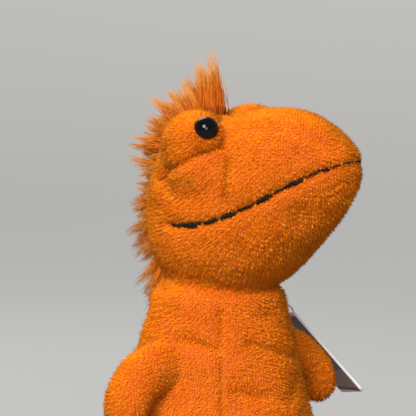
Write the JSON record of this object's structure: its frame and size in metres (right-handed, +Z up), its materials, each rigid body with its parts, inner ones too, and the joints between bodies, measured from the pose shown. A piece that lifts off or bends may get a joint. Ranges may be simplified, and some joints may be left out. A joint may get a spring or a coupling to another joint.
{
  "type": "stuffed dinosaur",
  "caption": "Upright plush dinosaur with a long snout, stitched smile, glossy safety eyes, long-pile mane, short arms, big feet, thick tail and a swing tag.",
  "frame": {"origin": "on the floor, under the middle of the part's box", "axes": "+Z up, the chest faces -Y, the animal's left is +X"},
  "size_m": [0.1716, 0.244, 0.3213],
  "materials": {
    "orange_plush": "short-pile plush, about 4 mm pile, soft sheen",
    "mane_pile": "long-pile faux fur, 15 to 30 mm, combed back",
    "sole_plush": "short-pile plush, worn flat",
    "black_thread": "satin embroidery thread",
    "orange_thread": "sewing thread",
    "stuffing": "polyester fibre filling",
    "bean_cloth": "plain woven cotton bag of pellets",
    "eye_plastic": "high gloss black",
    "washer_plastic": "moulded, matte",
    "nylon": "clear nylon, satin",
    "label_satin": "white satin ribbon",
    "card": "coated card, printed"
  },
  "bodies": {
    "torso": {"torso_side_left": "orange_plush", "torso_side_right": "orange_plush", "belly_panel": "orange_plush", "torso_filling": "stuffing", "bean_bag": "bean_cloth", "back_mane": "mane_pile", "closing_stitches": "orange_thread", "care_label": "label_satin"},
    "neck": {"neck_skin": "orange_plush", "neck_filling": "stuffing", "neck_mane": "mane_pile"},
    "head": {"head_side_left": "orange_plush", "head_side_right": "orange_plush", "head_crown": "orange_plush", "jaw_panel": "orange_plush", "head_filling": "stuffing", "eye_left": "eye_plastic", "eye_right": "eye_plastic", "eye_washer_left": "washer_plastic", "eye_washer_right": "washer_plastic", "mouth_stitching": "black_thread", "head_mane": "mane_pile"},
    "arm_left": {"arm_skin_left": "orange_plush", "arm_filling_left": "stuffing"},
    "arm_right": {"arm_skin_right": "orange_plush", "arm_filling_right": "stuffing"},
    "leg_left": {"leg_skin_left": "orange_plush", "leg_filling_left": "stuffing", "foot_sole_left": "sole_plush"},
    "leg_right": {"leg_skin_right": "orange_plush", "leg_filling_right": "stuffing", "foot_sole_right": "sole_plush"},
    "tail": {"tail_skin": "orange_plush", "tail_filling": "stuffing"},
    "tag": {"tag_fastener": "nylon", "hang_tag": "card"}
  },
  "joints": [
    {"name": "head_turn", "type": "hinge", "parent": "torso", "child": "neck", "pos_m": [-0.0135, -0.0411, 0.183], "axis": [0, 0, 1], "range_deg": [-47, 13], "stiffness_Nm_per_rad": 0.8},
    {"name": "head_nod", "type": "hinge", "parent": "neck", "child": "head", "pos_m": [-0.0135, -0.0411, 0.19], "axis": [-0.9563, -0.2924, 0], "range_deg": [-10, 10], "stiffness_Nm_per_rad": 2.5},
    {"name": "arm_swing_left", "type": "hinge", "parent": "torso", "child": "arm_left", "pos_m": [-0.0135, -0.0431, 0.167], "axis": [-1, 0, 0], "range_deg": [-30, 40], "stiffness_Nm_per_rad": 0.3},
    {"name": "arm_swing_right", "type": "hinge", "parent": "torso", "child": "arm_right", "pos_m": [-0.0135, -0.0431, 0.167], "axis": [-1, 0, 0], "range_deg": [-30, 60], "stiffness_Nm_per_rad": 0.3},
    {"name": "leg_swing_left", "type": "hinge", "parent": "torso", "child": "leg_left", "pos_m": [-0.0135, -0.0371, 0.072], "axis": [-1, 0, 0], "range_deg": [-10, 10], "stiffness_Nm_per_rad": 5},
    {"name": "leg_swing_right", "type": "hinge", "parent": "torso", "child": "leg_right", "pos_m": [-0.0135, -0.0371, 0.072], "axis": [-1, 0, 0], "range_deg": [-10, 10], "stiffness_Nm_per_rad": 5},
    {"name": "tail_wag", "type": "hinge", "parent": "torso", "child": "tail", "pos_m": [-0.0135, -0.0011, 0.058], "axis": [0, 0, 1], "range_deg": [-15, 15], "stiffness_Nm_per_rad": 0.6},
    {"name": "tag_swing", "type": "hinge", "parent": "arm_left", "child": "tag", "pos_m": [0.0335, -0.0397, 0.1813], "axis": [0.4711, -0.8821, 0], "range_deg": [0, 50]}
  ]
}
